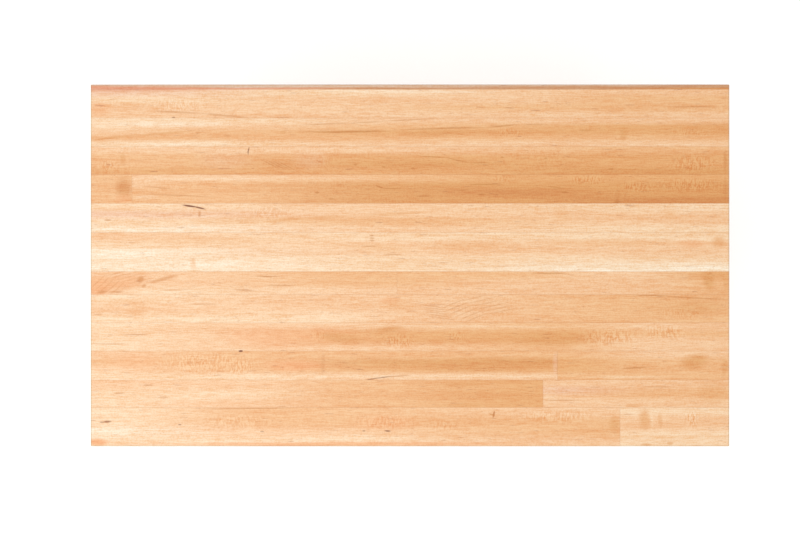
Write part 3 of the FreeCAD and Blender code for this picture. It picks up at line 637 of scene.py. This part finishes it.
def lacquered(node, order, seed, tones, middle):
    """Gives a leg or an apron lacquered maple, with its growth rings about middle."""
    material, tree, shader = new_material("lacquered_maple_" + node)
    place = wander(tree, along_axis(tree, order), (8.0, 4.0, 4.0))
    own = moved(tree, place, (seed * 917.0, seed * 311.0, seed * 173.0))
    broad = fibre(tree, own, (340, 38, 38), 0.35, 0.65, detail=1.0)
    light, deep = tones.split()
    colour = add(tree, "Mix", {"Factor": broad, "A": TONES[light], "B": TONES[deep]}, data_type="RGBA")
    ring = rings(tree, place, middle, 3.1, 0.5, 0.72)
    dark = times(tree, ring, 0.18)
    fine = fibre(tree, own, (16, 1.7, 1.7), 0.36, 0.68)
    for size, strength in (((180, 9, 9), 0.2), ((16, 1.7, 1.7), 0.17), ((2.6, 2.2, 2.2), 0.1)):
        dark = add(tree, "Math", {0: fibre(tree, own, size, 0.38, 0.68), 1: strength, 2: dark},
                   operation="MULTIPLY_ADD")
    colour = stained(tree, colour, dark, STAIN, "MULTIPLY")
    pore = fibre(tree, own, (4, 0.7, 0.7), 0.66, 0.76, detail=1.0)
    colour = stained(tree, colour, times(tree, pore, 0.25), DEEP_STAIN, "MULTIPLY")
    relief = add(tree, "Bump", {"Height": fine, "Strength": 0.1, "Distance": 0.0003})
    satin = add(tree, "MapRange", {"Value": dark, "To Min": 0.36, "To Max": 0.46})
    feed(tree, shader, Base_Color=colour, Roughness=satin, Normal=relief, IOR=1.5,
         Coat_Weight=0.25, Coat_Roughness=0.22)
    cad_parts[node].data.materials.clear()
    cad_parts[node].data.materials.append(material)


CORNERS = ("front_left", "front_right", "back_left", "back_right")
for number, corner in enumerate(CORNERS):
    leg_low, leg_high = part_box(corner + "_leg")
    axis = (leg_low + leg_high) / 2 / MM
    lacquered(corner + "_leg", "ZXY", 21 + number, "straw honey", (axis.x + 55 - 30 * number, axis.y + 70))
APRON_ORDERS = {"front": "XZY", "back": "XZY", "left": "YZX", "right": "YZX"}
for number, (side, order) in enumerate(APRON_ORDERS.items()):
    apron_low, apron_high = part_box(side + "_apron")
    across = (apron_low.y + apron_high.y if order[0] == "X" else apron_low.x + apron_high.x) / 2 / MM
    lacquered(side + "_apron", order, 31 + number, "straw tan", (640 - 12 * number, across + 60))

# %% [markdown]
# ## Steel, brass and nylon
# The brackets, clips, bolts and screws are mild steel, bright zinc plated: a soft grey shine with
# faint blue and straw patches where the plating is passivated. A metal takes its colour from the
# base colour and keeps the default IOR. The inserts are turned brass, with fine tool rings round
# the axis. The feet are moulded black nylon: matt, a little mottled, and never truly black.

# %% Metal and plastic finishes
def zinc(name, tint, roughness):
    """Bright zinc plate in that tint: 9 mm patches of passivation and 0.8 mm grain."""
    material, tree, shader = new_material(name)
    spot = add(tree, "TexCoord").outputs["Object"]
    mm = add(tree, "VectorMath", {0: spot, "Scale": 1 / MM}, operation="SCALE")
    cloud = fibre(tree, mm, (9, 9, 9), 0.35, 0.65)
    grain = fibre(tree, mm, (0.8, 0.8, 0.8), 0.3, 0.7)
    colour = stained(tree, linear(tint), cloud, linear("c3c6c9"))
    straw_patch = fibre(tree, mm, (22, 22, 14), 0.55, 0.7)
    colour = stained(tree, colour, times(tree, straw_patch, 0.4), linear("cfc7ae"))
    rough = add(tree, "MapRange", {"Value": grain, "To Min": roughness - 0.06, "To Max": roughness + 0.08})
    relief = add(tree, "Bump", {"Height": grain, "Strength": 0.15, "Distance": 0.0002})
    feed(tree, shader, Base_Color=colour, Metallic=1.0, Roughness=rough, Normal=relief)
    return material


zinc_sheet = zinc("zinc_plated_sheet_steel", "b4b8bc", 0.38)
zinc_fastener = zinc("zinc_plated_fasteners", "c4c7c6", 0.26)

brass, tree, shader = new_material("turned_brass")
spot = add(tree, "TexCoord").outputs["Object"]
_, _, height = add(tree, "SeparateXYZ", {0: spot}).outputs
TOOL_FEED = 0.5 * MM
tool_rings = add(tree, "TexNoise", {"W": height, "Scale": 1 / TOOL_FEED, "Detail": 1.0},
                 noise_dimensions="1D")
feed(tree, shader, Metallic=1.0,
     Base_Color=stained(tree, linear("c9a35a"), tool_rings, linear("e0c07a")),
     Roughness=add(tree, "MapRange", {"Value": tool_rings, "To Min": 0.22, "To Max": 0.42}),
     Normal=add(tree, "Bump", {"Height": tool_rings, "Strength": 0.2, "Distance": 0.0001}))

nylon, tree, shader = new_material("moulded_black_nylon")
spot = add(tree, "TexCoord").outputs["Object"]
mm = add(tree, "VectorMath", {0: spot, "Scale": 1 / MM}, operation="SCALE")
skin = fibre(tree, mm, (0.7, 0.7, 0.7), 0.3, 0.7)
flow = fibre(tree, mm, (12, 12, 5), 0.35, 0.65)
feed(tree, shader, Base_Color=stained(tree, linear("26272a"), flow, linear("303135")),
     Roughness=add(tree, "MapRange", {"Value": skin, "To Min": 0.48, "To Max": 0.62}),
     Normal=add(tree, "Bump", {"Height": skin, "Strength": 0.25, "Distance": 0.0002}), IOR=1.53)
print("finishes:", zinc_sheet.name, zinc_fastener.name, brass.name, nylon.name)

# %% [markdown]
# ## A tool for turned and hexagon parts
# A washer, a nut, a screw and a foot are all rings of points stacked along an axis and joined. Each
# ring is a circle, a hexagon, a square or a fluted circle of that radius at that height, and
# bridge_loops makes the wall from one ring to the next, even from a square to a circle. The ends are
# filled, or joined to each other when the part has a hole through it.

# %% Stacked rings
POINTS = 24


def ring_of(bm, corners, radius, height):
    """One ring of POINTS points: 0 corners is round, and -1 is a circle with shallow flutes."""
    known = set(bm.edges)
    segments = corners if corners > 0 else POINTS * (1 - 2 * min(corners, 0))
    made = bmesh.ops.create_circle(bm, segments=segments, radius=radius * MM,
                                   matrix=Matrix.Translation((0, 0, height * MM)))
    edges = [edge for edge in bm.edges if edge not in known]
    if corners > 0:
        bmesh.ops.subdivide_edges(bm, edges=edges, cuts=POINTS // corners - 1)
    if corners < 0:
        for flute in made["verts"][::3]:
            flute.co.xy *= 0.955
    return [edge for edge in bm.edges if edge not in known]


def stacked(levels, through=False):
    """A solid from (corners, radius, height) rings in mm. With through, the last joins the first."""
    bm = bmesh.new()
    loops = [ring_of(bm, *level) for level in levels]
    pairs = list(zip(loops, loops[1:])) + ([(loops[-1], loops[0])] if through else [])
    for lower, upper in pairs:
        bmesh.ops.bridge_loops(bm, edges=lower + upper)
    if not through:
        bmesh.ops.holes_fill(bm, edges=loops[0] + loops[-1], sides=0)
    return bm


def threaded(radius, pitch, length, steps=20):
    """A helical thread: a shallow V swept round and up, closed at both ends, about a plain core."""
    bm = bmesh.new()
    root = radius - 0.6 * pitch
    profile = ((root, 0), (radius, pitch / 2), (root, pitch))
    corners = [bm.verts.new((r * MM, 0, h * MM)) for r, h in profile]
    bm.edges.new(corners[:2])
    bm.edges.new(corners[1:])
    turns = int(length / pitch) - 1
    bmesh.ops.spin(bm, geom=bm.verts[:] + bm.edges[:], axis=(0, 0, 1), cent=(0, 0, 0), steps=turns * steps,
                   angle=turns * math.tau, dvec=(0, 0, pitch * MM / steps), use_merge=False)
    bmesh.ops.remove_doubles(bm, verts=bm.verts, dist=1e-6)
    open_edges = [edge for edge in bm.edges if edge.is_boundary]
    bmesh.ops.holes_fill(bm, edges=open_edges, sides=0)
    return bm


def joined(*parts):
    """Several bmeshes, each (bmesh, matrix), as one."""
    whole = bmesh.new()
    for part, matrix in parts:
        known = set(whole.verts)
        carrier = bpy.data.meshes.new("carrier")
        part.to_mesh(carrier)
        whole.from_mesh(carrier)
        bpy.data.meshes.remove(carrier)
        bmesh.ops.transform(whole, matrix=matrix, verts=[v for v in whole.verts if v not in known])
    return whole


def finished(bm, name, material, slot, body, *nodes, sharp=32):
    """Closes a piece, points its faces outwards, and puts it on its body for the CAD nodes it replaces."""
    bmesh.ops.remove_doubles(bm, verts=bm.verts, dist=1e-6)
    bmesh.ops.recalc_face_normals(bm, faces=bm.faces)
    mesh = bpy.data.meshes.new(name)
    bm.to_mesh(mesh)
    open_edges = sum(len(edge.link_faces) != 2 for edge in bm.edges)
    bm.free()
    mesh.materials.append(material)
    mesh.shade_smooth()
    mesh.set_sharp_from_angle(angle=math.radians(sharp))
    piece = bpy.data.objects.new(name, mesh)
    bpy.context.scene.collection.objects.link(piece)
    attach(piece, body)
    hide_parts(*nodes)
    print(f"{name}: {len(mesh.polygons)} faces, {open_edges} open edges")
    return piece


# %% [markdown]
# ## Finding the fasteners
# CAD keeps all eight bolts in one node, all sixteen bracket screws in another, and so on. Walking
# from vertex to vertex until nothing more is reached picks out one fastener at a time, and the
# middle of its box says where the detailed one goes.

# %% Lumps in a node
def lumps(node):
    """(lowest corner, highest corner) of each separate solid in a CAD node."""
    bm = bmesh.new()
    bm.from_mesh(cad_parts[node].data)
    bmesh.ops.remove_doubles(bm, verts=bm.verts, dist=1e-6)
    found, left = [], set(bm.verts)
    while left:
        reached = [left.pop()]
        for vert in reached:
            near = {edge.other_vert(vert) for edge in vert.link_edges} & left
            left -= near
            reached += near
        spots = [vert.co for vert in reached]
        found.append((Vector(map(min, *spots)), Vector(map(max, *spots))))
    bm.free()
    return sorted(found, key=lambda lump: tuple(lump[0]))


def facing(spot, direction):
    """The matrix that stands a part's own axis along direction, with its origin at spot."""
    return Matrix.Translation(spot) @ Vector(direction).to_track_quat("Z", "Y").to_matrix().to_4x4()


def to_middle(low, high):
    """The level direction from a lump at a corner to the middle of the table, along the diagonal."""
    spot = (low + high) / 2
    return Vector((-math.copysign(1, spot.x), -math.copysign(1, spot.y), 0)).normalized()


# %% [markdown]
# ## Bolts, washers and nuts
# A hanger bolt is screwed into each leg twice, and its machine thread comes out through the
# bracket. The nut pulls the leg into the corner. Real nuts are turned from hexagon bar, so a
# cone trims their corners and leaves small arcs on the flats: here each corner point
# simply sits lower than the round shoulder inside it.

# %% Bracket hardware
BOLT_RADIUS, BOLT_PITCH = 4.0, 1.25
NUT_FLATS, NUT_HEIGHT = 13.0, 6.5
WASHER_RADIUS, WASHER_THICKNESS = 9.0, 1.6

bolt_low, bolt_high = lumps("hanger_bolts")[0]
slant = Vector((bolt_high.x - bolt_low.x, bolt_high.y - bolt_low.y)) / MM
bolt_length = slant.length - 2 * (BOLT_RADIUS - 1.0)
print(f"bolt {bolt_length:.1f} mm")
core = BOLT_RADIUS - 0.55 * BOLT_PITCH
bolt = joined(
    (threaded(BOLT_RADIUS, BOLT_PITCH, bolt_length - 1.5),
     Matrix.Translation((0, 0, -bolt_length / 2 * MM))),
    (stacked([
        (0, core - 0.4, -bolt_length / 2), (0, core, -bolt_length / 2 + 0.8),
        (0, core, bolt_length / 2 - 1.2), (0, core - 0.5, bolt_length / 2 - 0.3),
        (0, core - 1.4, bolt_length / 2),
    ]), Matrix.Identity(4)),
)
corner_radius = NUT_FLATS / math.sqrt(3)
nut = stacked([
    (0, NUT_FLATS / 2 - 0.3, -NUT_HEIGHT / 2), (6, corner_radius, -NUT_HEIGHT / 2 + 0.5),
    (6, corner_radius, NUT_HEIGHT / 2 - 0.5), (0, NUT_FLATS / 2 - 0.3, NUT_HEIGHT / 2),
    (0, BOLT_RADIUS + 0.6, NUT_HEIGHT / 2), (0, core, NUT_HEIGHT / 2 - 0.8),
    (0, core, -NUT_HEIGHT / 2 + 0.8), (0, BOLT_RADIUS + 0.6, -NUT_HEIGHT / 2),
], through=True)
half = WASHER_THICKNESS / 2
washer = stacked([
    (0, WASHER_RADIUS - 0.25, -half), (0, WASHER_RADIUS, -half + 0.25), (0, WASHER_RADIUS, half - 0.4),
    (0, WASHER_RADIUS - 0.4, half), (0, BOLT_RADIUS + 0.6, half), (0, BOLT_RADIUS + 0.3, half - 0.3),
    (0, BOLT_RADIUS + 0.3, -half),
], through=True)
for part, name, node in (
    (bolt, "threaded_hanger_bolts", "hanger_bolts"),
    (nut, "chamfered_nuts", "bolt_nuts"),
    (washer, "rounded_washers", "bolt_washers"),
):
    spots = [(part, facing((low + high) / 2, to_middle(low, high))) for low, high in lumps(node)]
    finished(joined(*spots), name, zinc_fastener, "zinc_steel", "table", node)

# %% [markdown]
# ## Wood screws
# All twenty-six are alike: a low pan head with a square recess, a short plain neck and a coarse
# thread that runs out to a point. The head starts square in the recess and becomes round at the
# top, which is one bridge from a square ring to a round one.

# %% Screws
HEAD_RADIUS, HEAD_HEIGHT, SCREW_LENGTH = 4.2, 2.8, 18.0
shank = [(0, 2.0, 0), (0, 2.0, 4.0)]
for turn in range(6):
    shank += [(0, 1.35, 4.4 + 1.8 * turn), (0, 2.0, 5.3 + 1.8 * turn), (0, 1.35, 5.6 + 1.8 * turn)]
screw = stacked([
    (4, 1.7, -HEAD_HEIGHT + 1.7), (4, 1.9, -HEAD_HEIGHT),
    (0, 2.5, -HEAD_HEIGHT), (0, 3.3, -HEAD_HEIGHT + 0.25),
    (0, 3.9, -HEAD_HEIGHT + 0.8), (0, HEAD_RADIUS, -HEAD_HEIGHT + 1.6), (0, HEAD_RADIUS, -0.2),
    (0, HEAD_RADIUS - 0.2, 0), *shank, (0, 1.0, SCREW_LENGTH - 1.5), (0, 0.15, SCREW_LENGTH),
])


def screw_turned(low, high):
    """Where a screw goes: its length is its box's longest side, and it points away from the middle."""
    size, spot = high - low, (low + high) / 2
    axis = max(range(3), key=lambda number: size[number])
    outward = 1 if axis == 2 else math.copysign(1, spot[axis])
    direction = Vector([outward if number == axis else 0 for number in range(3)])
    return facing(spot - direction * (SCREW_LENGTH - HEAD_HEIGHT) / 2 * MM, direction)


for node, name in (("bracket_screws", "bracket_wood_screws"), ("clip_screws", "clip_wood_screws")):
    finished(joined(*[(screw, screw_turned(low, high)) for low, high in lumps(node)]), name,
             zinc_fastener, "zinc_steel", "table", node)

# %% [markdown]
# ## Brackets and clips
# These are pressed from steel sheet, so every edge is slightly rounded and no bend is razor sharp.
# Their CAD shape is right apart from that. A copy of the CAD mesh has its doubled points merged and
# its flat triangles joined into whole faces, and then a bevel takes the sharpness off each edge.

# %% Pressed steel
def pressed(name, node, width):
    """A copy of a sheet-steel CAD node with all its edges eased by width mm."""
    bm = bmesh.new()
    bm.from_mesh(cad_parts[node].data)
    bmesh.ops.remove_doubles(bm, verts=bm.verts, dist=1e-6)
    bmesh.ops.dissolve_limit(bm, angle_limit=math.radians(1), verts=bm.verts, edges=bm.edges)
    sharp = [edge for edge in bm.edges if edge.is_manifold and edge.calc_face_angle() > math.radians(35)]
    bmesh.ops.bevel(bm, geom=sharp, offset=width * MM, offset_type="OFFSET", affect="EDGES", segments=2,
                    profile=0.5, material=-1)
    return finished(bm, name, zinc_sheet, "zinc_steel", "table", node)


for corner in CORNERS:
    pressed(f"{corner}_pressed_bracket", f"{corner}_bracket", 0.4)
pressed("pressed_top_clips", "top_clips", 0.35)

# %% [markdown]
# ## The screw feet
# Each foot is a nylon pad that stands still on the floor while a spanner turns the steel stem
# above it. The pad's rim is fluted for fingers. The stem has a chamfered hexagon and a real helical
# thread, and the brass insert in the leg shows as a ring round it.

# %% Feet
STEM_RADIUS, STEM_PITCH, HEX_FLATS = 5.0, 1.5, 17.0
for corner in CORNERS:
    low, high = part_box(corner + "_foot_pad")
    x, y = (low.x + high.x) / 2, (low.y + high.y) / 2
    pad = stacked([
        (0, 17.5, 0.0), (-1, 18.9, 0.0), (-1, 19.8, 0.9), (-1, 20.0, 1.8), (-1, 20.0, 4.2),
        (-1, 19.4, 5.1), (0, 17.8, 6.3), (0, 12.4, 10.1), (0, 11.2, 10.8), (0, 10.2, 11.0),
        (0, 5.6, 11.0), (0, 5.1, 10.6), (0, 5.1, 5.0),
    ])
    finished(joined((pad, Matrix.Translation((x, y, 0)))), f"{corner}_fluted_pad", nylon, "nylon",
             f"{corner}_pad", f"{corner}_foot_pad")
    low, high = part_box(corner + "_foot_stem")
    bottom, top, crown = low.z / MM, high.z / MM, 11.0
    hexagon = stacked([
        (0, 4.2, bottom), (0, 4.9, bottom + 0.6), (0, 4.9, crown), (0, HEX_FLATS / 2 - 0.4, crown),
        (6, HEX_FLATS / math.sqrt(3), crown + 0.6), (6, HEX_FLATS / math.sqrt(3), crown + 7.4),
        (0, HEX_FLATS / 2 - 0.4, crown + 8.0), (0, 4.4, crown + 8.0), (0, 4.1, crown + 8.3),
        (0, 4.1, top - 1.0), (0, 3.2, top),
    ])
    thread = threaded(STEM_RADIUS, STEM_PITCH, top - crown - 9.0)
    stem = joined((hexagon, Matrix.Translation((x, y, 0))),
                  (thread, Matrix.Translation((x, y, (crown + 8.1) * MM))))
    finished(stem, f"{corner}_threaded_stem", zinc_fastener, "zinc_steel", f"{corner}_stem",
             f"{corner}_foot_stem")

insert_length = 22.0
insert = stacked([
    (0, 5.5, 0), (0, 6.9, 0), (0, 7.4, 0.4), (0, 7.5, 1.5), (-1, 7.5, 2.0), (-1, 7.5, insert_length - 1.0),
    (0, 6.9, insert_length), (0, 5.3, insert_length), (0, 5.1, insert_length - 0.3), (0, 5.1, 0.5),
], through=True)
spots = [(insert, Matrix.Translation(((low.x + high.x) / 2, (low.y + high.y) / 2, low.z)))
         for low, high in lumps("foot_inserts")]
finished(joined(*spots), "knurled_inserts", brass, "brass", "table", "foot_inserts")

# %% [markdown]
# ## A table-top studio
# A plain pale floor and soft light, as for a catalogue. The sky is an even white, a large panel to
# the left gives direction, and the floor glows a little, as a lit shooting table does, so that it
# stays white round the table and only the space under it is shaded.

# %% Floor, light and camera
FLOOR_GLOW, SKY_STRENGTH, PANEL_POWER = 0.16, 1.02, 46
material, tree, shader = new_material("lit_acrylic_floor")
haze = add(tree, "TexNoise", {"Vector": add(tree, "TexCoord").outputs["Object"], "Scale": 3.0})
feed(tree, shader, Base_Color=stained(tree, linear("f2f2f2"), haze, linear("f6f6f6")), Roughness=0.6,
     Emission_Color=(1, 1, 1, 1), Emission_Strength=FLOOR_GLOW)
plane = bmesh.new()
bmesh.ops.create_grid(plane, x_segments=1, y_segments=1, size=9.0)
floor = bpy.data.objects.new("floor", bpy.data.meshes.new("floor"))
plane.to_mesh(floor.data)
plane.free()
floor.data.materials.append(material)
bpy.context.scene.collection.objects.link(floor)

world = bpy.data.worlds.new("studio")
world.use_nodes = True
world.node_tree.nodes["Background"].inputs["Color"].default_value = (1, 1, 1, 1)
world.node_tree.nodes["Background"].inputs["Strength"].default_value = SKY_STRENGTH
bpy.context.scene.world = world


def panel(name, spot, aim, size, power):
    """A soft square light of that size in metres, at spot, facing aim."""
    light = bpy.data.lights.new(name, "AREA")
    light.size = size
    light.energy = power
    holder = bpy.data.objects.new(name, light)
    holder.location = spot
    holder.rotation_euler = (Vector(aim) - Vector(spot)).to_track_quat("-Z", "Y").to_euler()
    bpy.context.scene.collection.objects.link(holder)


panel("left_panel", (-1.1, -0.9, 4.1), (0, 0, 0.7), 2.2, PANEL_POWER)

LENS, SENSOR = 70.0, 36.0
VIEW_WIDTH = 1335.6 * MM
camera = bpy.data.cameras.new("camera")
camera.lens, camera.sensor_width = LENS, SENSOR
viewer = bpy.data.objects.new("camera", camera)
viewer.location = (-16.7 * MM, -1.8 * MM, top_high.z + VIEW_WIDTH * LENS / SENSOR)
bpy.context.scene.collection.objects.link(viewer)
bpy.context.scene.camera = viewer
bpy.context.scene.view_settings.view_transform = "Standard"
print(f"camera {viewer.location.z:.2f} m up, panel {PANEL_POWER} W")
